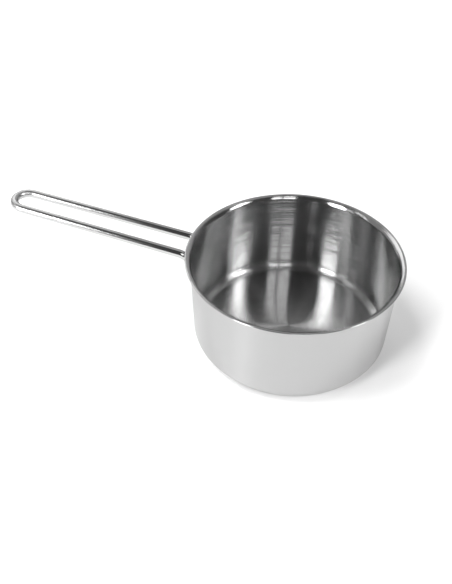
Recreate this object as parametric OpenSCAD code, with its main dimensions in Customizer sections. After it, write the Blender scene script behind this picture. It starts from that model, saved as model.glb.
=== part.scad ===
// Steel melting pot with a loop handle of bent wire.
//
// Origin: centre of the base's underside. +Z is up and the handle points along -X.
// All sizes are in millimetres.
//
// How it is put together: a pan is drawn from one sheet and its rim is flared outwards.
// An aluminium disc is brazed under its floor, and a thin cap is brazed over the disc.
// One piece of wire is bent into a loop, its two ends are pressed flat, and each end
// is spot-welded to the wall just under the rim.

/* [Pan] */
// Outside diameter of the flared rim
rim_d = 168; // [140:1:220]
// Height of the pan, from the underside of its floor to the top of the rim
pan_h = 75; // [60:1:110]
// Thickness of the sheet
sheet_t = 0.8; // [0.6:0.1:1.2]
// Bend radius on the underside of the flared rim
lip_r = 3.6; // [2.5:0.1:6]
// Inside radius between floor and wall
corner_r = 7; // [4:0.5:12]
// How much smaller the wall's radius is at the corner than under the rim
taper = 1.4; // [0:0.1:4]

/* [Base] */
// How far the base reaches past the flat of the floor, under the pan's corner
base_reach = 1.7; // [0.5:0.1:2.5]
// Thickness of the aluminium disc
core_t = 4; // [2:0.5:8]
// Thickness of the cap
cap_t = 0.6; // [0.4:0.1:1]
// Thickness of each brazed joint
braze_t = 0.2; // [0.1:0.05:0.4]
// Outside radius of the cap's rounded edge
edge_r = 2; // [1.2:0.1:3]

/* [Handle] */
// Diameter of the wire
wire_d = 6.5; // [5:0.1:8]
// Length of the handle from the pan's wall to the far end of the loop
handle_l = 156.7; // [110:1:220]
// Distance between the two legs where they leave the pan, centre to centre
root_spacing = 23.5; // [21:0.5:32]
// Distance between the two legs at the far end, centre to centre
tip_spacing = 21.6; // [18:0.1:32]
// Upward slope of the handle, in degrees
rise = 7.5; // [0:0.5:20]
// Bend radius of the wire next to the wall, at its centreline
bend_r = 10.5; // [8:0.5:16]
// Depth of the bend's centre below the rim
bend_drop = 17.7; // [16:0.1:26]

/* [Handle ends] */
// Thickness of each flattened end
pad_t = 2.4; // [1.5:0.1:4]
// Width of each flattened end
pad_w = 11; // [9:0.5:14]
// Length of each flattened end below the bend's centre
pad_l = 13; // [11:0.5:24]

/* [Welds] */
// Diameter of each weld nugget
nugget_d = 4.5; // [3:0.5:5.5]
// Depth of a nugget into the flattened end
nugget_in_pad = 0.7; // [0.3:0.1:1]
// Depth of a nugget into the wall
nugget_in_wall = 0.4; // [0.2:0.1:0.5]
// Distance between the two nuggets of one end
weld_pitch = 7; // [6:0.5:9]
// Distance from the bottom of an end to its lower nugget
weld_edge = 5; // [4:0.5:6]

/* [Hidden] */
$fn = 96;

STEEL = [0.80, 0.81, 0.82];
CAP_STEEL = [0.70, 0.71, 0.73];
WIRE_STEEL = [0.86, 0.87, 0.88];
ALUMINIUM = [0.74, 0.75, 0.77];
BRAZE = [0.66, 0.62, 0.55];
WELD = [0.52, 0.52, 0.54];

// A small length that lets two shapes of one solid run into each other
JOIN = 0.05;

// Heights of the layers under the pan's floor
core_z = cap_t + braze_t;
braze_upper_z = core_z + core_t;
pan_z = braze_upper_z + braze_t;
total_h = pan_z + pan_h;

// Centres of the pan's two bends, in its (radius, height) section
lip_x = rim_d / 2 - sheet_t / 2;
lip_z = total_h - sheet_t - lip_r;
corner_z = pan_z + sheet_t + corner_r;
flat_r = lip_x - lip_r - taper - sheet_t - corner_r;

// Slope of the wall from the vertical, in degrees, and its outside radius at a height
draft = atan2(taper, lip_z - corner_z);
function wall_r(z) = lip_x - lip_r - (lip_z - z) * tan(draft);

base_r = flat_r + base_reach;
core_r = base_r - cap_t;
// Height at which the capped base is trimmed to the underside of the pan
trim_z = pan_z + base_reach;

// Centre of a leg's bend, and where its flattened end lies on the wall
bend_z = total_h - bend_drop;
leg_y = root_spacing / 2;
end_mid_r = wall_r(bend_z) + pad_t / 2 / cos(draft);
end_x = sqrt(pow(end_mid_r, 2) - pow(leg_y, 2));
bend_x = end_x + bend_r * cos(draft);
end_turn = 180 - draft - rise;
// The bend stays round until the wire would touch the wall, and is pressed flat from there
flat_span = acos((bend_r + pad_t / 2) / (bend_r + wire_d / 2));
// The press that flattens it is round: it leaves the inside of the bend where the flat begins,
// and is level with the flat end's outer face where the bend ends
bend_inner_r = bend_r - wire_d / 2;
pad_face_r = bend_r - pad_t / 2;
press_x = (pow(pad_face_r, 2) - pow(bend_inner_r, 2))
    / (2 * (pad_face_r - bend_inner_r * cos(flat_span)));
press_r = pad_face_r - press_x;

// The loop's end and the legs' slant, seen along the normal of the handle's plane
loop_r = tip_spacing / 2;
leg_start = (bend_x - bend_r * sin(rise) - wall_r(bend_z)) / cos(rise);
loop_x = handle_l - wire_d / 2 - loop_r - leg_start;
slant = acos(loop_r / norm([leg_y, loop_x])) - atan2(loop_x, leg_y);
leg_l = sqrt(pow(leg_y, 2) + pow(loop_x, 2) - pow(loop_r, 2));
// How many degrees the loop's far end runs on inside each leg
loop_overlap = 2;

// Direction of a flattened end, seen from above
end_y = leg_y + bend_r * cos(draft) * sin(slant);
end_az = atan2(end_y, end_x);
pad_top = bend_z + (bend_r + wire_d / 2) * sin(flat_span);
pad_low = bend_z - pad_l;
weld_low = pad_low + weld_edge;

// ---- pan ----

// Everything inside the pan's inner surface, or inside a surface that lies `grow` outside it,
// as an outline in (radius, height)
module pan_outline(grow) {
    bottom_r = corner_r + grow;
    top_r = lip_r + sheet_t - grow;
    above = total_h + lip_r;
    difference() {
        union() {
            polygon([
                [0, corner_z - bottom_r],
                [flat_r, corner_z - bottom_r],
                [flat_r, corner_z],
                [flat_r + bottom_r, corner_z],
                [lip_x - top_r, lip_z],
                [lip_x, lip_z],
                [lip_x, above],
                [0, above]
            ]);
            translate([flat_r, corner_z])
                circle(r = bottom_r);
        }
        translate([lip_x, lip_z])
            circle(r = top_r);
    }
}

// The space that the pan's outside takes up, as a solid
module pan_envelope() {
    rotate_extrude()
        pan_outline(sheet_t);
}

module rim_edge_outline() {
    intersection() {
        translate([lip_x, total_h - sheet_t / 2])
            circle(d = sheet_t);
        translate([lip_x, total_h - 2 * sheet_t])
            square([sheet_t, 3 * sheet_t]);
    }
}

module pan() {
    color(STEEL)
        difference() {
            rotate_extrude() {
                difference() {
                    pan_outline(sheet_t);
                    pan_outline(0);
                }
                rim_edge_outline();
            }
            for (side = [1, -1])
                nuggets(side);
        }
}

// ---- base ----

// A disc that lies between two heights and ends where the pan's corner begins
module base_disc(r, low, high) {
    difference() {
        translate([0, 0, low])
            cylinder(r = r, h = high - low);
        pan_envelope();
    }
}

module braze_upper() {
    color(BRAZE)
        base_disc(core_r, braze_upper_z, pan_z + JOIN);
}

module base_core() {
    color(ALUMINIUM)
        cap_inside(core_z, braze_upper_z);
}

module braze_lower() {
    color(BRAZE)
        cap_inside(cap_t, core_z);
}

// The inside of the cap between two heights, with the cap's rounded edge
module cap_inside(low, high) {
    inner_edge_r = edge_r - cap_t;
    rotate_extrude() {
        intersection() {
            union() {
                translate([0, edge_r])
                    square([core_r, total_h]);
                translate([0, cap_t])
                    square([core_r - inner_edge_r, total_h]);
                translate([core_r - inner_edge_r, edge_r])
                    circle(r = inner_edge_r);
            }
            translate([0, low])
                square([base_r, high - low]);
        }
    }
}

module base_cap() {
    color(CAP_STEEL)
        difference() {
            rotate_extrude() {
                square([base_r - edge_r, trim_z]);
                translate([0, edge_r])
                    square([base_r, trim_z - edge_r]);
                translate([base_r - edge_r, edge_r])
                    circle(r = edge_r);
            }
            cap_inside(cap_t, total_h);
            pan_envelope();
        }
}

// ---- handle ----

// Places a leg's parts about the centre of its bend, with x along the leg
module at_bend() {
    translate([bend_x, leg_y, bend_z])
        rotate([0, -rise, 0])
            rotate([0, 0, -slant])
                children();
}

// The flat end, curved like the wall. It starts inside the wall, and leg() cuts it back.
module pad() {
    intersection() {
        translate([0, 0, pad_low])
            cylinder(r1 = wall_r(pad_low) + pad_t, r2 = wall_r(pad_top) + pad_t,
                     h = pad_top - pad_low);
        rotate([0, 0, end_az])
            translate([flat_r, 0, 0])
                rotate([90, 0, 90])
                    linear_extrude(height = rim_d) {
                        for (z = [pad_low + pad_w / 2, pad_top - pad_w / 2])
                            translate([0, z])
                                circle(d = pad_w);
                        translate([-pad_w / 2, pad_low + pad_w / 2])
                            square([pad_w, pad_top - pad_low - pad_w]);
                    }
    }
}

// The wire of one leg, from its end on the wall, round the bend and out to the loop
module leg_wire() {
    at_bend() {
        rotate([90, 0, 0])
            rotate([0, 0, 90])
                rotate_extrude(angle = end_turn - 90)
                    translate([bend_r, 0])
                        circle(d = wire_d);
        translate([0, 0, bend_r])
            rotate([0, 90, 0])
                cylinder(d = wire_d, h = leg_l);
    }
}

// The outside of the pan's sloping wall, as a solid
module wall_cone() {
    translate([0, 0, corner_z])
        cylinder(r1 = wall_r(corner_z), r2 = wall_r(lip_z), h = lip_z - corner_z);
}

// The round press that flattens the wire's end
module press() {
    at_bend()
        rotate([0, -end_turn, 0])
            translate([press_x, 0, 0])
                rotate([90, 0, 0])
                    cylinder(r = press_r, h = 2 * wire_d, center = true);
}

module leg() {
    difference() {
        union() {
            difference() {
                leg_wire();
                press();
            }
            pad();
        }
        wall_cone();
    }
}

// The far end of the loop. It is a hair thinner than the legs and reaches a little way
// into them, so that the three make one clean solid.
module loop_end() {
    translate([bend_x, 0, bend_z])
        rotate([0, -rise, 0])
            translate([loop_x, 0, bend_r])
                rotate([0, 0, slant - 90 - loop_overlap])
                    rotate_extrude(angle = 180 - 2 * slant + 2 * loop_overlap)
                        translate([loop_r, 0])
                            circle(d = wire_d - JOIN);
}

module handle_wire() {
    color(WIRE_STEEL)
        difference() {
            mirror([1, 0, 0]) {
                leg();
                mirror([0, 1, 0])
                    leg();
                loop_end();
            }
            for (side = [1, -1])
                nuggets(side);
        }
}

// ---- welds ----

// The two weld nuggets of one flattened end: side 1 is at +Y and side -1 at -Y
module nuggets(side) {
    for (i = [0, 1]) {
        z = weld_low + i * weld_pitch;
        translate([0, 0, z])
            rotate([0, 0, 180 - side * end_az])
                translate([wall_r(z) - nugget_in_wall, 0, 0])
                    rotate([0, 90, 0])
                        cylinder(d = nugget_d, h = nugget_in_wall + nugget_in_pad);
    }
}

module welds_left() {
    color(WELD)
        nuggets(-1);
}

module welds_right() {
    color(WELD)
        nuggets(1);
}

pan();
braze_upper();
base_core();
braze_lower();
base_cap();
handle_wire();
welds_left();
welds_right();
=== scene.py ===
# %% [markdown]
# # A steel melting pot with a loop handle
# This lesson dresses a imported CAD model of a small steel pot. The CAD model fixes every size
# and place. Here each surface that shows is made again as a fine mesh with a true finish:
# a brushed inside, a polished outside, a turned base and a bright bent wire.
# Everything is in metres, the pot stands on z = 0, and its handle points along -X.

# %% Load the frame
import math

import bpy
import numpy as np
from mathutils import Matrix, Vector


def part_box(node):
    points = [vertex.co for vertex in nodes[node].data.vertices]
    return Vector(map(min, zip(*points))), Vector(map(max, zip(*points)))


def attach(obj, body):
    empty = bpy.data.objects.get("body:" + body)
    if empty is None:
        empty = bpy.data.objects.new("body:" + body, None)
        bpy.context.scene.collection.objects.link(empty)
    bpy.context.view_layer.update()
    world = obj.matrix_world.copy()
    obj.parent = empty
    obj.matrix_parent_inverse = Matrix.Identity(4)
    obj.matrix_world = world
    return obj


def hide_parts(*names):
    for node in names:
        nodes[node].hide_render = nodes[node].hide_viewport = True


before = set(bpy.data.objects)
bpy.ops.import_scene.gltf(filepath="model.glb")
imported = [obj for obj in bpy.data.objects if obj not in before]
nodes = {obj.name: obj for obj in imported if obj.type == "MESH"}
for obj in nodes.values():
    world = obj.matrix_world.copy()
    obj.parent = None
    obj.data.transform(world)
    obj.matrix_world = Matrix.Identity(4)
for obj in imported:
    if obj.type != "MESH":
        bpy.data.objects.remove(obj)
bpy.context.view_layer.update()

print("CAD nodes:", sorted(nodes))

# %% [markdown]
# ## The camera
# A product shot of a pot is taken from above, far enough away that the rim stays a calm ellipse.
# The camera could be pointed with a constraint, but a position and three angles are plain to
# read and can't drift. It stands in front, a little to the right, and looks 42 degrees down.

# %% Place the camera
CAMERA_PLACE = (0.05645, -0.40648, 0.40940)
CAMERA_TILT = 48.004      # degrees from looking straight down
CAMERA_TURN = 15.24       # degrees about Z, so that it faces a little to the left
CAMERA_LENS = 42.3        # millimetres, with a 36 mm sensor on the long side

camera_data = bpy.data.cameras.new("camera")
camera_data.sensor_width = 36
camera_data.lens = CAMERA_LENS
camera = bpy.data.objects.new("camera", camera_data)
camera.location = CAMERA_PLACE
camera.rotation_euler = (math.radians(CAMERA_TILT), 0, math.radians(CAMERA_TURN))
bpy.context.scene.collection.objects.link(camera)
bpy.context.scene.camera = camera
print("camera stands", round(math.hypot(*CAMERA_PLACE), 3), "m from the pot's foot")

# %% [markdown]
# ## Sizes
# The pot is a surface of revolution, so a handful of radii and thicknesses describe it. Those
# that can be read off the CAD model's boxes are read, and the sheet's own sizes are named here.

# %% Name the sizes
SHEET = 0.0008            # thickness of the pan's sheet
LIP_BEND = 0.0036         # bend radius on the underside of the flared rim
CORNER = 0.007            # inside radius between floor and wall
TAPER = 0.0014            # how much narrower the wall is at the corner than under the rim
CAP_SHEET = 0.0006        # thickness of the cap under the base
CAP_EDGE = 0.002          # outside radius of the cap's rounded edge

rim_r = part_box("pan")[1].x
top_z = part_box("pan")[1].z
pan_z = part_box("pan")[0].z
base_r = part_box("base_cap")[1].x

lip_centre = np.array([rim_r - SHEET / 2, top_z - SHEET - LIP_BEND])
corner_centre = np.array([lip_centre[0] - LIP_BEND - TAPER - SHEET - CORNER,
                          pan_z + SHEET + CORNER])
print("rim radius", round(rim_r, 4), "height", round(top_z, 4), "base radius", round(base_r, 4))

# %% [markdown]
# ## Sections made of lines and arcs
# A turned or drawn part is known by its section: the outline that a cut through its axis shows.
# It could be typed in as a list of points, but lines and arcs with named centres say what the
# shape is. Each helper returns whole arrays of (radius, height).

# %% Make the section helpers
def arc(centre, radius, start, end, steps):
    """Points on a circle: centre + radius * (cos t, sin t), with t from start to end degrees."""
    t = np.radians(np.linspace(start, end, steps + 1))
    return np.asarray(centre) + radius * np.stack([np.cos(t), np.sin(t)], -1)


def line(start, end, steps):
    """Points that divide the straight line from start to end into equal steps."""
    t = np.linspace(0, 1, steps + 1)[:, None]
    return np.asarray(start) * (1 - t) + np.asarray(end) * t


def join(*stretches):
    """One outline from stretches that share their end points, and the stretch of each step."""
    points = np.vstack([stretches[0]] + [s[1:] for s in stretches[1:]])
    stretch = np.repeat(np.arange(len(stretches)), [len(s) - 1 for s in stretches])
    return points, stretch


def run_length(points):
    """The distance along a line of points, from its start to each of them."""
    return np.concatenate([[0], np.cumsum(np.linalg.norm(np.diff(points, axis=0), axis=1))])


quarter = run_length(arc([0, 0], 1, 0, 90, 32))[-1]
print("a quarter circle of radius 1 is", round(quarter, 4), "long, and pi / 2 is 1.5708")

# %% [markdown]
# ## From arrays to a mesh
# Blender can spin a curve with a modifier, but then the poles and the seam need mending. A grid
# of numpy points joined by index arrays closes both from the start, and its faces are known to
# point outwards. Each point also remembers where it is on the surface, in an attribute called
# wrap: the cosine and sine of its angle round the piece, and its distance along the section or
# path in metres. Brush lines can then run round a pan or along a wire, with no seam.

# %% Make the mesh helpers
def add_mesh(name, points, wrap, quads, triangles, slots):
    """Puts arrays into a new mesh object: points, then the quads, then the triangles at its ends.
    slots holds the material slot of each face, in the same order."""
    mesh = bpy.data.meshes.new(name)
    mesh.from_pydata(points.tolist(), [], quads.tolist() + triangles.tolist())
    mesh.polygons.foreach_set("material_index", slots.astype(np.int32))
    store = mesh.attributes.new("wrap", "FLOAT_VECTOR", "POINT")
    store.data.foreach_set("vector", wrap.astype(np.float32).ravel())
    mesh.shade_smooth()
    mesh.update()
    piece = bpy.data.objects.new(name, mesh)
    bpy.context.scene.collection.objects.link(piece)
    print(name, "has", 2 * len(quads) + len(triangles), "triangles")
    return piece


def tube_mesh(name, start, rings, end, angle, run, ring_slots):
    """A closed tube: a start point, rings of points joined by quads, and an end point. rings is
    an array (ring, side, xyz), angle is each side's angle in radians, and run is the distance
    to the start, each ring and the end. ring_slots holds the slot of each band of faces."""
    count, sides = rings.shape[:2]
    index = 1 + np.arange(count * sides).reshape(count, sides)
    beside = np.roll(index, -1, axis=1)
    quads = np.stack([index[:-1], index[1:], beside[1:], beside[:-1]], -1).reshape(-1, 4)
    first = np.stack([np.zeros(sides, int), index[0], beside[0]], -1)
    last = np.stack([np.full(sides, count * sides + 1), beside[-1], index[-1]], -1)
    round_it = np.stack([np.cos(angle), np.sin(angle)], -1)
    wrap = np.zeros((count, sides, 3))
    wrap[..., :2] = round_it
    wrap[..., 2] = run[1:-1, None]
    ends = np.array([[0, 0, run[0]], [0, 0, run[-1]]])
    return add_mesh(name, np.vstack([start, rings.reshape(-1, 3), end]),
                    np.vstack([ends[:1], wrap.reshape(-1, 3), ends[1:]]),
                    quads, np.vstack([first, last]),
                    np.repeat(np.append(ring_slots[1:-1], ring_slots[[0, -1]]), sides))


def revolve(name, section, slots, sides=256):
    """A surface of revolution about Z. Point (i, j) is (r_i cos a_j, r_i sin a_j, z_i), where
    a_j = 2 pi j / sides. The section's first and last points lie on the axis, and slots holds
    the material slot of each of its steps."""
    angle = 2 * np.pi * np.arange(sides) / sides
    r, z = section[1:-1, 0, None], section[1:-1, 1, None]
    rings = np.stack([r * np.cos(angle), r * np.sin(angle), z + 0 * angle], -1)
    start, end = [0, 0, section[0, 1]], [0, 0, section[-1, 1]]
    return tube_mesh(name, start, rings, end, angle, run_length(section), slots)


print("helpers ready: add_mesh, tube_mesh, revolve")

# %% [markdown]
# ## The pan
# The real pan is drawn from one sheet and its rim is flared out, so inside and outside are the
# same outline a sheet's thickness apart. A Solidify modifier would do that too, but the sheet's
# rounded edge at the rim catches the light, so the whole closed outline is made at once.
# The wall is the line that touches both the corner's arc and the rim's arc.

# %% Find the wall's lean
across = lip_centre - corner_centre
both_radii = CORNER + LIP_BEND + SHEET
lean = math.atan2(*across) - math.asin(both_radii / np.hypot(*across))
lean_deg = math.degrees(lean)
print("the wall leans out by", round(lean_deg, 2), "degrees")

# %% [markdown]
# Four stretches make each side of the sheet. The floor and the corner are spun, the inner wall
# and the lip are brushed, and the rolled edge and the outside are polished, so each stretch is
# given the slot of its finish.

# %% Make the pan
STRAIGHT_STEPS = 8
BEND_STEPS = 32
EDGE_STEPS = 12           # round the sheet's rolled edge at the rim


def pan_side(grow):
    """The outline of the sheet's inside, or of its outside if grow is the sheet's thickness."""
    floor = corner_centre - [0, CORNER + grow]
    corner = arc(corner_centre, CORNER + grow, -90, -lean_deg, BEND_STEPS)
    lip = arc(lip_centre, LIP_BEND + SHEET - grow, 180 - lean_deg, 90, BEND_STEPS)
    wall = line(corner[-1], lip[0], STRAIGHT_STEPS)
    return line([0, floor[1]], floor, 3 * STRAIGHT_STEPS), corner, wall, lip


inside = pan_side(0)
outside = [stretch[::-1] for stretch in pan_side(SHEET)[::-1]]
rim_edge = arc(lip_centre + [0, LIP_BEND + SHEET / 2], SHEET / 2, 90, -90, EDGE_STEPS)
pan_section, stretch = join(*inside, rim_edge, *outside)
FLOOR_SLOT, CORNER_SLOT, WALL_SLOT, OUTSIDE_SLOT = range(4)
inside_slots = [FLOOR_SLOT, CORNER_SLOT, WALL_SLOT, WALL_SLOT]
PAN_SLOTS = np.array(inside_slots + [OUTSIDE_SLOT] * 5)
pan = revolve("pan_shell", pan_section, PAN_SLOTS[stretch])

# %% [markdown]
# ## The base
# A thin cap covers the aluminium disc. Its underside is turned flat, with a shallow middle and
# a few fine ring grooves. They could be left to a bump map, but the base is looked at closely
# when a pot hangs on its hook, so they are cut into the outline itself.

# %% Shape the underside
GROOVES = np.array([0.020, 0.034, 0.048, 0.062])   # radii of the grooves
GROOVE_WIDTH = 0.0006
GROOVE_DEPTH = 0.00018
MIDDLE_R = 0.009          # radius of the shallow middle
MIDDLE_DEPTH = 0.00022
MIDDLE_STEP = 0.0002      # how softly the middle's edge steps down


def turned(r):
    """Depth of the cut at radius r: a smooth dip at each groove, and a shallow middle."""
    near = (r[:, None] - GROOVES) / GROOVE_WIDTH
    middle = 1 / (1 + np.exp((r - MIDDLE_R) / MIDDLE_STEP))
    return GROOVE_DEPTH * np.exp(-near ** 2).sum(1) + MIDDLE_DEPTH * middle


def under_corner(r):
    """The point of the pan's rounded underside at radius r, where the cap ends against it."""
    drop = math.sqrt((CORNER + SHEET) ** 2 - (r - corner_centre[0]) ** 2)
    return [r, corner_centre[1] - drop]


flat_end = base_r - CAP_EDGE
UNDER_STEPS = 60          # rings across the whole underside, before those at the cuts
CUT_STEPS = 9             # rings across each cut
near_cuts = [GROOVES[:, None] + GROOVE_WIDTH * np.linspace(-2, 2, CUT_STEPS),
             MIDDLE_R + MIDDLE_STEP * np.linspace(-4, 4, CUT_STEPS)]
all_over = np.linspace(0, flat_end, UNDER_STEPS)
r = np.unique(np.concatenate([all_over] + [cut.ravel() for cut in near_cuts]))
under = np.stack([r, turned(r)], -1)
print("the underside has", len(r), "rings, and its deepest cut is",
      round(1000 * turned(r).max(), 2), "mm")

# %% [markdown]
# The cap wraps up round the disc as far as the pan's rounded underside and stops against it. Its
# section goes along the underside, round the edge, up, across its own thickness and back inside.

# %% Make the base
edge_centre = [flat_end, CAP_EDGE]
edge = arc(edge_centre, CAP_EDGE, -90, 0, BEND_STEPS)
edge[0] = under[-1]
inner_edge = arc(edge_centre, CAP_EDGE - CAP_SHEET, 0, -90, BEND_STEPS)
top = line(under_corner(base_r), under_corner(base_r - CAP_SHEET), 2)
base_section, stretch = join(under, edge, line(edge[-1], top[0], STRAIGHT_STEPS), top,
                             line(top[-1], inner_edge[0], STRAIGHT_STEPS), inner_edge,
                             line(inner_edge[-1], [0, CAP_SHEET], STRAIGHT_STEPS))
base_stretch = stretch[::-1]
base = revolve("base_shell", base_section[::-1], (base_stretch == 0).astype(int))

# %% [markdown]
# ## The handle
# The handle is one piece of round wire. It is bent into a long loop, its two ends turn down
# against the wall, and there they are pressed flat and spot-welded. A curve with a bevel would
# give the round part, but not the pressing, so a profile is carried along the path and changes
# on the way: round along the legs, wide and thin at the ends.

# %% Name the handle's sizes
WIRE = 0.0065             # diameter
RISE = math.radians(7.5)  # slope of the handle
LEG_SPACING = 0.0235      # between the legs at the wall, centre to centre
LOOP_SPACING = 0.0216     # between the legs at the loop
BEND = 0.0105             # bend radius next to the wall
BEND_DROP = 0.0177        # depth of the bend's centre below the rim
END_T = 0.0024            # thickness of a flattened end
END_W = 0.011             # its width
END_L = 0.013             # its length below the bend's centre
WELD_D = 0.0045           # diameter of a spot weld
WELD_EDGE = 0.005         # from the bottom of an end to its lower weld
WELD_PITCH = 0.007        # between the two welds of an end
WELD_DENT = 0.00025       # depth of the mark that the electrode leaves
print("the ends are pressed from", WIRE, "to", END_T, "m thick, and", END_W, "m wide")

# %% Find where the handle starts and how it lies
wall_top, wall_foot = pan_side(SHEET)[3][0], pan_side(SHEET)[1][-1]
bend_z = top_z - BEND_DROP
end_low_z = bend_z - END_L


def wall_r(z):
    """The wall's outside radius at height z."""
    return np.interp(z, [wall_foot[1], wall_top[1]], [wall_foot[0], wall_top[0]])


end_r = wall_r(bend_z) + END_T / 2 / math.cos(lean)
bend_x = math.sqrt(end_r ** 2 - (LEG_SPACING / 2) ** 2) + BEND * math.cos(lean)
loop_r = LOOP_SPACING / 2
reach = -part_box("handle_wire")[0].x - WIRE / 2 - bend_x + BEND * math.sin(RISE)
loop_x = reach / math.cos(RISE) - loop_r
slant = (math.acos(loop_r / math.hypot(LEG_SPACING / 2, loop_x))
         - math.atan2(loop_x, LEG_SPACING / 2))
leg_length = math.sqrt((LEG_SPACING / 2) ** 2 + loop_x ** 2 - loop_r ** 2)
print("the legs are", round(leg_length, 4), "m long and close in by",
      round(2 * math.degrees(slant), 2), "degrees")

# %% [markdown]
# The path is worked out for one leg, from the tip of its flattened end to the middle of the
# loop, and mirrored for the other. Along it, three unit vectors say how the profile is held:
# ahead, the way the path goes; outer, away from the inside of the bend; and side, across.

# %% Name the three directions of a leg
def unit(v):
    """The vectors of an array, each divided by its length."""
    return v / np.linalg.norm(v, axis=-1, keepdims=True)


def smooth(t):
    """0 below t = 0, 1 above t = 1, and 3 t^2 - 2 t^3 between."""
    t = np.clip(t, 0, 1)
    return t * t * (3 - 2 * t)


leg_way = np.array([-math.cos(slant) * math.cos(RISE), -math.sin(slant),
                    math.cos(slant) * math.sin(RISE)])
up_way = np.array([math.sin(RISE), 0, math.cos(RISE)])
bend_centre = np.array([-bend_x, LEG_SPACING / 2, bend_z])
bend_end = math.pi / 2 - lean - RISE
print("the wire bends through", round(math.degrees(bend_end), 1), "degrees")

# %% [markdown]
# The bend, the flattened end, the leg and a quarter of the loop are laid end to end. The rings
# are close where the shape changes quickly, at the tip and in the bend, and far apart on the leg.

# %% Lay out the path of the wire
TIP_RINGS = 18            # round the end of a flattened end
END_RINGS = 30            # up the rest of it
BEND_RINGS = 57
LEG_STEPS = 24
LOOP_RINGS = 49           # round a quarter of the loop

# The bend, from the wall to the leg: centre + radius * (cos t up - sin t along the leg)
bend_turn = np.linspace(bend_end, 0, BEND_RINGS)
t = bend_turn[:, None]
bend = bend_centre + BEND * (np.cos(t) * up_way - np.sin(t) * leg_way)
bend_ahead = np.sin(t) * up_way + np.cos(t) * leg_way
bend_outer = np.cos(t) * up_way - np.sin(t) * leg_way

# The flattened end, straight down the wall from there, with close rings round its tip
round_z = math.atan2(bend[0][1], -bend[0][0])
wall_way = np.array([-math.cos(round_z), math.sin(round_z), 0])
tip = wall_way * (wall_r(end_low_z) + END_T / 2 / math.cos(lean)) + [0, 0, end_low_z]
end_length = np.linalg.norm(bend[0] - tip)
tip_steps = END_W / 2 * (1 - np.cos(np.linspace(0, np.pi / 2, TIP_RINGS)))
far_steps = np.linspace(END_W / 2, end_length, END_RINGS)
steps = np.concatenate([tip_steps, far_steps[1:-1]])[:, None]
flat = tip + (bend[0] - tip) * steps / end_length
flat_ahead = np.repeat(unit(bend[0] - tip)[None], len(flat), 0)
flat_outer = np.repeat(unit(np.cross([math.sin(round_z), math.cos(round_z), 0],
                                     flat_ahead[0]))[None], len(flat), 0)

# The leg, and a quarter of the loop, whose centre lies in the same sloping plane
leg = line(bend[-1], bend[-1] + leg_way * leg_length, LEG_STEPS)
away = np.array([-math.cos(RISE), 0, math.sin(RISE)])
loop_centre = np.array([-bend_x, 0, bend_z]) + BEND * up_way + loop_x * away
across_y = np.array([0, 1, 0])
t = np.linspace(math.pi / 2 - slant, 0, LOOP_RINGS)[:, None]
loop = loop_centre + loop_r * (np.cos(t) * away + np.sin(t) * across_y)
loop_ahead = np.sin(t) * away - np.cos(t) * across_y

path = np.vstack([flat, bend, leg[1:-1], loop])
leg_ahead = np.repeat(leg_way[None], len(leg) - 2, 0)
rest_outer = np.repeat(up_way[None], len(leg) + len(loop) - 2, 0)
ahead = np.vstack([flat_ahead, bend_ahead, leg_ahead, loop_ahead])
outer = np.vstack([flat_outer, bend_outer, rest_outer])
print("half of the wire has", len(path), "rings")

# %% [markdown]
# Pressing keeps the wire clear of the wall: within the flat it is as thick as the space that
# its middle leaves to the wall, and it spreads sideways as it thins. The end also twists a few
# degrees, because the leg stands square to the handle while the end lies along the round wall.

# %% Press the ends flat
FLAT_FADE = 1.35          # how far past the flat, as a share of it, the wire is still wide
TIP_SQUARENESS = 6        # how late the end thins towards its tip: higher is later

flat_span = math.acos((BEND + END_T / 2) / (BEND + WIRE / 2))
before_flat = np.concatenate([np.zeros(len(flat)), bend_end - bend_turn,
                              np.full(len(leg) + len(loop) - 2, bend_end)])
pressed = np.minimum(before_flat, flat_span)
half_t = np.minimum((BEND + END_T / 2) / np.cos(pressed) - BEND, WIRE / 2)
flatness = 1 - smooth(before_flat / (FLAT_FADE * flat_span))
half_w = WIRE / 2 + (END_W - WIRE) / 2 * flatness
from_tip = np.concatenate([steps[:, 0], np.full(len(path) - len(flat), END_W)])
to_round = np.clip(1 - from_tip / (END_W / 2), 0, 1)
half_w = half_w * np.sqrt(1 - to_round ** 2)
half_t = half_t * np.sqrt(1 - to_round ** TIP_SQUARENESS)
print("the wire is", round(2000 * half_t.max(), 2), "mm thick, and", round(
    2000 * half_t[len(flat) - 1], 2), "mm where it is pressed")

# %% Twist the ends to lie along the wall
turn_in = smooth(before_flat / bend_end)[:, None]
lying = np.array([math.sin(round_z), math.cos(round_z), 0])
standing = np.cross(leg_way, up_way)
straight_side = np.cross(ahead, outer)
twisted = unit(lying * (1 - turn_in) + standing * turn_in)
side = np.where(before_flat[:, None] < bend_end, twisted, straight_side)
side = unit(side - (side * ahead).sum(1, keepdims=True) * ahead)
outer = np.cross(side, ahead)


def whole(half, flip):
    """A leg's array followed by the other leg's, mirrored in y, and turned round if flip is -1."""
    mirror = np.array([1, -1, 1]) if half.ndim > 1 else 1
    return np.concatenate([half, flip * (half * mirror)[-2::-1]])


path, ahead, outer = whole(path, 1), whole(ahead, -1), whole(outer, 1)
half_w, half_t, flatness = whole(half_w, 1), whole(half_t, 1), whole(flatness, 1)
side = np.cross(ahead, outer)
print("the whole wire has", len(path), "rings and is", round(run_length(path)[-1], 3), "m long")

# %% [markdown]
# The profile is u = w cos a across and v = t (1 - |cos a|^p)^(1/p) out, which is an ellipse at
# p = 2 and a slab with rounded edges at p = 4. Across a flattened end it also curves like the
# wall, and each weld leaves a round dent where the electrode pressed.

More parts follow.
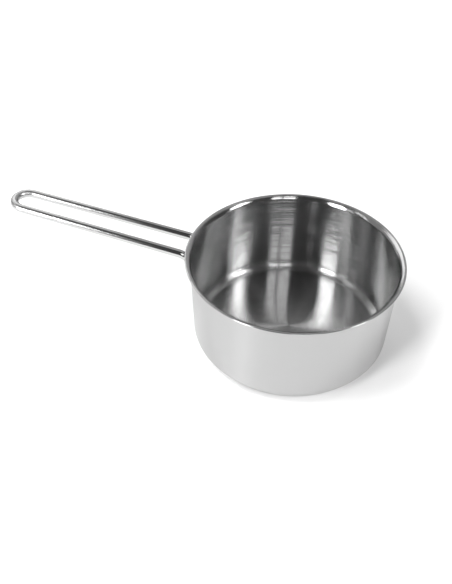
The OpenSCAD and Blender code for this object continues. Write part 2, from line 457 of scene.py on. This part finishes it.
# %% Make the handle
WIRE_SIDES = 64
angle = 2 * np.pi * np.arange(WIRE_SIDES) / WIRE_SIDES
power = (2 + 2 * flatness)[:, None]
u = half_w[:, None] * np.cos(angle)
v = half_t[:, None] * np.sign(np.sin(angle)) * (1 - np.abs(np.cos(angle)) ** power) ** (1 / power)
v = v + flatness[:, None] * u ** 2 / (2 * wall_r(bend_z))

DENT_SOFTNESS = 0.00022   # how gently the rim of a dent rises
z = path[:, 2, None]
for weld_z in [end_low_z + WELD_EDGE, end_low_z + WELD_EDGE + WELD_PITCH]:
    distance = np.hypot(u, z - weld_z)
    dent = WELD_DENT / (1 + np.exp((distance - WELD_D / 2) / DENT_SOFTNESS))
    v = v + np.where((np.sin(angle) < 0) & (flatness[:, None] > 0.5), dent, 0)

rings = path[:, None] + u[..., None] * side[:, None] + v[..., None] * outer[:, None]
handle = tube_mesh("handle_loop", path[0], rings[1:-1], path[-1], angle, run_length(path),
                   np.zeros(len(path) - 1, int))

# %% [markdown]
# ## Node groups for what several finishes share
# Brushing, drawing and turning all leave fine parallel lines, and handling leaves soft clouds.
# Each effect is built once as a node group, and every material sets its own values on it.

# %% Make the node-group helpers
def new_group(name, inputs, outputs):
    """An empty shader node group with the named sockets, and its input and output nodes.
    inputs maps a name to (socket type, default), and outputs maps a name to a socket type."""
    group = bpy.data.node_groups.new(name, "ShaderNodeTree")
    for label, (kind, default) in inputs.items():
        socket = group.interface.new_socket(label, in_out="INPUT", socket_type=kind)
        if default is not None:
            socket.default_value = default
    for label, kind in outputs.items():
        group.interface.new_socket(label, in_out="OUTPUT", socket_type=kind)
    return group, group.nodes.new("NodeGroupInput"), group.nodes.new("NodeGroupOutput")


def add_node(tree, kind, settings=None, **inputs):
    """A new node. settings are its properties; inputs are values or sockets to link, by name,
    with _ for a space and a trailing number for an unnamed place, as in Value_1."""
    node = tree.nodes.new("ShaderNode" + kind)
    for label, value in (settings or {}).items():
        setattr(node, label, value)
    for label, value in inputs.items():
        stem, _, place = label.rpartition("_")
        if place.isdigit():
            socket = [s for s in node.inputs if s.name == stem.replace("_", " ")][int(place)]
        else:
            socket = node.inputs[label.replace("_", " ")]
        if isinstance(value, bpy.types.NodeSocket):
            tree.links.new(value, socket)
        else:
            socket.default_value = value
    return node


print("helpers ready: new_group, add_node")

# %% Group: fine parallel lines
LINES = "fine_lines"
FINER = 4.3               # how many times finer the fine lines are than the coarse ones
group, given, result = new_group(
    LINES,
    {"Wrap": ("NodeSocketVector", None), "Around": ("NodeSocketFloat", 8.0),
     "Along": ("NodeSocketFloat", 2000.0), "Fine share": ("NodeSocketFloat", 0.5)},
    {"Lines": "NodeSocketFloat"})
coarse_scale = add_node(group, "CombineXYZ", X=given.outputs["Around"], Y=given.outputs["Around"],
                        Z=given.outputs["Along"])
coarse_at = add_node(group, "VectorMath", {"operation": "MULTIPLY"},
                     Vector_0=given.outputs["Wrap"], Vector_1=coarse_scale.outputs[0])
coarse = add_node(group, "TexNoise", Vector=coarse_at.outputs[0], Scale=1.0, Detail=3.0,
                  Roughness=0.6)
fine_at = add_node(group, "VectorMath", {"operation": "SCALE"}, Vector_0=coarse_at.outputs[0],
                   Scale=FINER)
fine = add_node(group, "TexNoise", Vector=fine_at.outputs[0], Scale=1.0, Detail=2.0,
                Roughness=0.7)
both = add_node(group, "Mix", {"data_type": "FLOAT"})
group.links.new(given.outputs["Fine share"], both.inputs["Factor"])
group.links.new(coarse.outputs["Fac"], both.inputs["A"])
group.links.new(fine.outputs["Fac"], both.inputs["B"])
group.links.new(both.outputs["Result"], result.inputs["Lines"])
print(LINES, "has", len(group.nodes), "nodes")

# %% Group: soft clouds from handling and cleaning
CLOUDS = "handling_clouds"
group, given, result = new_group(
    CLOUDS,
    {"Place": ("NodeSocketVector", None), "Size": ("NodeSocketFloat", 0.02),
     "Contrast": ("NodeSocketFloat", 1.0)},
    {"Clouds": "NodeSocketFloat"})
scale = add_node(group, "Math", {"operation": "DIVIDE"}, Value_0=1.0,
                 Value_1=given.outputs["Size"])
noise = add_node(group, "TexNoise", Vector=given.outputs["Place"], Scale=scale.outputs[0],
                 Detail=4.0, Roughness=0.55)
centred = add_node(group, "Math", {"operation": "SUBTRACT"}, Value_0=noise.outputs["Fac"],
                   Value_1=0.5)
stretched = add_node(group, "Math", {"operation": "MULTIPLY_ADD", "use_clamp": True},
                     Value_0=centred.outputs[0], Value_1=given.outputs["Contrast"], Value_2=0.5)
group.links.new(stretched.outputs[0], result.inputs["Clouds"])
print(CLOUDS, "has", len(group.nodes), "nodes")

# %% [markdown]
# A bump map finds its slope by comparing points that lie a little way apart, so very fine lines
# blur in every direction. Brushed grooves only ever slope across themselves. This group leans
# the surface that way alone: normal + slope * (normal x along the groove), made one long again.
# Streaks of light then spread up the wall and keep their sharp edges.

# %% Group: slopes of grooves
SLOPES = "groove_slopes"
group, given, result = new_group(
    SLOPES,
    {"Wrap": ("NodeSocketVector", None), "Facing": ("NodeSocketVector", None),
     "Lines": ("NodeSocketFloat", 0.5), "Steepness": ("NodeSocketFloat", 1.0)},
    {"Normal": "NodeSocketVector"})
circle = add_node(group, "SeparateXYZ", Vector=given.outputs["Wrap"])
backwards = add_node(group, "Math", {"operation": "MULTIPLY"}, Value_0=circle.outputs["Y"],
                     Value_1=-1.0)
along = add_node(group, "CombineXYZ", X=backwards.outputs[0], Y=circle.outputs["X"])
across_lines = add_node(group, "VectorMath", {"operation": "CROSS_PRODUCT"},
                        Vector_0=given.outputs["Facing"], Vector_1=along.outputs[0])
centred = add_node(group, "Math", {"operation": "SUBTRACT"}, Value_0=given.outputs["Lines"],
                   Value_1=0.5)
slope = add_node(group, "Math", {"operation": "MULTIPLY"}, Value_0=centred.outputs[0],
                 Value_1=given.outputs["Steepness"])
lean_by = add_node(group, "VectorMath", {"operation": "SCALE"}, Vector_0=across_lines.outputs[0],
                   Scale=slope.outputs[0])
leaning = add_node(group, "VectorMath", {"operation": "ADD"}, Vector_0=given.outputs["Facing"],
                   Vector_1=lean_by.outputs[0])
level = add_node(group, "VectorMath", {"operation": "NORMALIZE"}, Vector_0=leaning.outputs[0])
group.links.new(level.outputs[0], result.inputs["Normal"])
print(SLOPES, "has", len(group.nodes), "nodes")

# %% [markdown]
# ## Finishes
# Bare steel is a metal whose look is nearly all reflection, so its colour matters less than how
# the reflection spreads. Brushing in circles leaves grooves that spread light across them and
# hardly at all along them: that is anisotropy, turned a quarter so that highlights stretch up
# the wall and out from the floor's middle like the blades of a fan.

# %% Make the helper for metals
RAMP = (0.3, 0.7)         # line values at which the ramp is at its darkest and its lightest


def metal(name, dark, light, rough, lines, clouds, height, anisotropic=0.0, turn=0.0,
          wrapped=True, steepness=0.0, dulled=0.0):
    """A metal whose colour goes from dark to light with its lines, and whose roughness goes
    from rough[0] to rough[1] with its lines and clouds. lines is (around, along, fine share),
    clouds is (size, contrast), and height is how deep the lines are cut, in metres. steepness
    leans the grooves as well, across themselves only. A piece that isn't wrapped has its lines
    laid on Object coordinates: level, and about 1 / along metres high. dulled is how much
    rougher the metal is at the far end of the handle than at the pot."""
    material = bpy.data.materials.new(name)
    material.use_nodes = True
    tree = material.node_tree
    shader = tree.nodes["Principled BSDF"]
    shader.inputs["Metallic"].default_value = 1.0
    shader.inputs["Anisotropic"].default_value = anisotropic
    shader.inputs["Anisotropic Rotation"].default_value = turn
    place = add_node(tree, "TexCoord").outputs["Object"]
    wrap = place
    if wrapped:
        wrap = add_node(tree, "Attribute", {"attribute_name": "wrap"}).outputs["Vector"]
    group = add_node(tree, "Group", {"node_tree": bpy.data.node_groups[LINES]}, Wrap=wrap,
                     Around=lines[0], Along=lines[1], Fine_share=lines[2])
    cloud = add_node(tree, "Group", {"node_tree": bpy.data.node_groups[CLOUDS]}, Place=place,
                     Size=clouds[0], Contrast=clouds[1])
    grey = add_node(tree, "ValToRGB", Fac=group.outputs["Lines"])
    for stop, position, colour in zip(grey.color_ramp.elements, RAMP, (dark, light)):
        stop.position = position
        stop.color = (*colour, 1)
    tree.links.new(grey.outputs["Color"], shader.inputs["Base Color"])
    mixed = add_node(tree, "Math", {"operation": "MULTIPLY_ADD"}, Value_0=group.outputs["Lines"],
                     Value_1=0.5, Value_2=0.0)
    mixed = add_node(tree, "Math", {"operation": "MULTIPLY_ADD"}, Value_0=cloud.outputs["Clouds"],
                     Value_1=0.5, Value_2=mixed.outputs[0])
    spread = add_node(tree, "MapRange", Value=mixed.outputs[0], To_Min=rough[0], To_Max=rough[1])
    spread = spread.outputs[0]
    if dulled:
        x = add_node(tree, "SeparateXYZ", Vector=place).outputs["X"]
        far_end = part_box("handle_wire")[0].x
        held = add_node(tree, "MapRange", Value=x, From_Min=-rim_r, From_Max=far_end, To_Min=0.0,
                        To_Max=dulled)
        spread = add_node(tree, "Math", Value_0=spread, Value_1=held.outputs[0]).outputs[0]
    tree.links.new(spread, shader.inputs["Roughness"])
    bump = add_node(tree, "Bump", Height=group.outputs["Lines"], Distance=height, Strength=1.0)
    facing = bump.outputs["Normal"]
    if steepness:
        slopes = add_node(tree, "Group", {"node_tree": bpy.data.node_groups[SLOPES]}, Wrap=wrap,
                          Facing=facing, Lines=group.outputs["Lines"], Steepness=steepness)
        facing = slopes.outputs["Normal"]
    tree.links.new(facing, shader.inputs["Normal"])
    if anisotropic:
        tangent = add_node(tree, "Tangent", {"direction_type": "RADIAL", "axis": "Z"})
        tree.links.new(tangent.outputs[0], shader.inputs["Tangent"])
    return material


print("lines are darkest below", RAMP[0], "and lightest above", RAMP[1])

# %% [markdown]
# The inside has three finishes, because the floor, the tight corner and the wall each need their
# own spread of groove slopes. The outside is smooth, and its lines hardly show. The wire is
# bright next to the pot and duller towards its far end. The braze and the welds are the only
# metals with a clear tint.

# %% Make the finishes
QUARTER = 0.25            # a quarter turn, for highlights that run across the brushing


def greys(dark, light):
    """Two neutral colours of the given brightness, for the two ends of a metal's ramp."""
    return (dark, dark, dark), (light, light, light)


spun = metal("pan_floor_spun", *greys(0.34, 0.41), (0.18, 0.24), (2.5, 500.0, 0.5),
             (0.03, 0.8), 0.000004, anisotropic=1.0, turn=QUARTER)
corner_spun = metal("pan_corner_spun", *greys(0.40, 0.47), (0.20, 0.26), (2.5, 1800.0, 0.5),
                    (0.03, 0.8), 0.000001, anisotropic=1.0, turn=QUARTER, steepness=4.0)
brushed = metal("pan_wall_brushed", *greys(0.44, 0.54), (0.15, 0.19), (1.6, 1500.0, 0.4),
                (0.03, 0.8), 0.000005, anisotropic=1.0, turn=QUARTER, steepness=1.7)
polished = metal("pan_polished", *greys(0.44, 0.50), (0.20, 0.25), (6.0, 1500.0, 0.5),
                 (0.05, 1.0), 0.000002, anisotropic=0.9, turn=QUARTER)
cap_polished = metal("cap_polished", *greys(0.56, 0.62), (0.12, 0.20),
                     (6.0, 1500.0, 0.5), (0.03, 1.0), 0.000002, anisotropic=0.3, turn=QUARTER)
cap_turned = metal("cap_turned", *greys(0.46, 0.60), (0.20, 0.34),
                   (3.0, 1600.0, 0.4), (0.02, 1.2), 0.00002, anisotropic=0.7, turn=QUARTER)
wire = metal("wire_polished", *greys(0.54, 0.60), (0.05, 0.11),
             (14.0, 30.0, 0.5), (0.01, 1.2), 0.000002, dulled=0.28)
aluminium = metal("rolled_aluminium", (0.62, 0.62, 0.63), (0.74, 0.74, 0.75), (0.30, 0.45),
                  (40.0, 900.0, 0.5), (0.006, 1.5), 0.000005, wrapped=False)
braze = metal("braze_filler", (0.52, 0.49, 0.43), (0.66, 0.63, 0.56), (0.40, 0.60),
              (300.0, 500.0, 0.5), (0.004, 2.0), 0.00001, wrapped=False)
weld = metal("weld_steel", (0.30, 0.29, 0.30), (0.46, 0.44, 0.42), (0.35, 0.55),
             (700.0, 700.0, 0.5), (0.002, 2.0), 0.00001, wrapped=False)
print("finishes:", sorted(material.name for material in bpy.data.materials))

# %% [markdown]
# ## Dress the pieces
# A new piece stands for its CAD node, rides on the same body and takes the finishes listed with
# it. The sealed layers of the base and the weld nuggets keep their CAD shape.

# %% Dress and attach them
dressed = [(pan, "pan", "pan_steel", [spun, corner_spun, brushed, polished]),
           (base, "base_cap", "cap_steel", [cap_polished, cap_turned]),
           (handle, "handle_wire", "wire_steel", [wire])]
for piece, node, slot, finishes in dressed:
    for finish in finishes:
        piece.data.materials.append(finish)
    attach(piece, "root")
    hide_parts(node)
    print(piece.name, "stands for", node)

kept_nodes = {"braze_upper": braze, "braze_lower": braze, "base_core": aluminium,
              "welds_left": weld, "welds_right": weld}
for node, finish in kept_nodes.items():
    for slot in nodes[node].material_slots:
        slot.material = finish
    print(node, "keeps its CAD shape, with", finish.name)

# %% [markdown]
# ## The floor and the light
# Polished steel shows the room more than itself. The floor is white and bright, so the outside
# is bright too. Everything else is dim, apart from a few soft boxes: each draws one streak.
# A wider lamp would make the floor whiter but would add a streak of its own, so one lamp, the
# floor wash, is hidden from reflections. It comes from high on the left, and the shadow that it
# leaves on the right sets the pot down on the floor.

# %% Lay the floor
FLOOR_HALF = 1.6          # half its side: past it the white world shows, with no dark horizon
FLOOR_DROP = 0.00002      # keeps the floor a hair clear of the base
corners = [(x * FLOOR_HALF, y * FLOOR_HALF, -FLOOR_DROP)
           for x, y in [(-1, -1), (1, -1), (1, 1), (-1, 1)]]
floor_mesh = bpy.data.meshes.new("floor")
floor_mesh.from_pydata(corners, [], [(0, 1, 2, 3)])
floor = bpy.data.objects.new("floor", floor_mesh)
bpy.context.scene.collection.objects.link(floor)
paper = bpy.data.materials.new("white_paper")
paper.use_nodes = True
paper_shader = paper.node_tree.nodes["Principled BSDF"]
paper_shader.inputs["Base Color"].default_value = (0.86, 0.86, 0.86, 1)
paper_shader.inputs["Roughness"].default_value = 0.9
paper_shader.inputs["Specular IOR Level"].default_value = 0.0
floor_mesh.materials.append(paper)
print("the floor is", 2 * FLOOR_HALF, "m square")

# %% Set the lights
LIGHT_DISTANCE = 5.0


def soft_box(name, azimuth, elevation, width, height, brightness):
    """A rectangular lamp that faces the pot. Azimuth 0 is in front (-Y) and 90 is at +X;
    elevation is above the floor; width and height are how wide and tall it looks from the pot.
    All four are in degrees. Its power is pi * area * brightness, so a mirror would show it that
    many times as bright as white paper."""
    lamp = bpy.data.lights.new(name, "AREA")
    lamp.shape = "RECTANGLE"
    lamp.size = 2 * LIGHT_DISTANCE * math.tan(math.radians(width / 2))
    lamp.size_y = 2 * LIGHT_DISTANCE * math.tan(math.radians(height / 2))
    lamp.energy = math.pi * lamp.size * lamp.size_y * brightness
    box = bpy.data.objects.new(name, lamp)
    a, e = math.radians(azimuth), math.radians(elevation)
    back = np.array([math.sin(a) * math.cos(e), -math.cos(a) * math.cos(e), math.sin(e)])
    box.location = back * LIGHT_DISTANCE
    box.rotation_euler = (math.pi / 2 - e, 0, a)
    bpy.context.scene.collection.objects.link(box)
    return box


soft_box("key_box", -35, 30, 15, 26, 17)
soft_box("key_low", -35, 12, 13, 14, 14)
soft_box("key_edge", -51, 34, 5, 26, 1.5)
soft_box("left_strip", -70, 40, 5, 26, 3)
soft_box("left_panel", -88, 32, 44, 56, 0.3)
soft_box("right_box", 79, 34, 12, 34, 11)
soft_box("shoulder_box", 35, 44, 8, 20, 5)
soft_box("shoulder_pair", 20, 44, 10, 20, 5)
soft_box("rear_left_box", -135, 34, 40, 30, 1.6)
soft_box("rear_panel", 176, 46, 60, 64, 0.45)
wash = soft_box("floor_wash", -70, 64, 22, 22, 13.0)
wash.visible_glossy = False

print("lamps:", len(bpy.data.lights))

# %% [markdown]
# The world is the empty studio behind the lamps. To the camera it is white, like the floor, so
# that a low view has a clean background. To the steel it is nearly black, which gives the dark
# parts between the streaks. A Light Path node tells the two apart.

# %% Light the world
GLOW = 0.07               # how bright the empty studio is to everything but the camera
world = bpy.data.worlds.new("studio")
world.use_nodes = True
bpy.context.scene.world = world
sky = world.node_tree.nodes["Background"]
ray = add_node(world.node_tree, "LightPath")
seen = add_node(world.node_tree, "MapRange", Value=ray.outputs["Is Camera Ray"], To_Min=GLOW,
                To_Max=1.0)
world.node_tree.links.new(seen.outputs[0], sky.inputs["Strength"])
sky.inputs["Color"].default_value = (1, 1, 1, 1)
bpy.context.scene.view_settings.view_transform = "Standard"
print("the studio's glow is", GLOW)
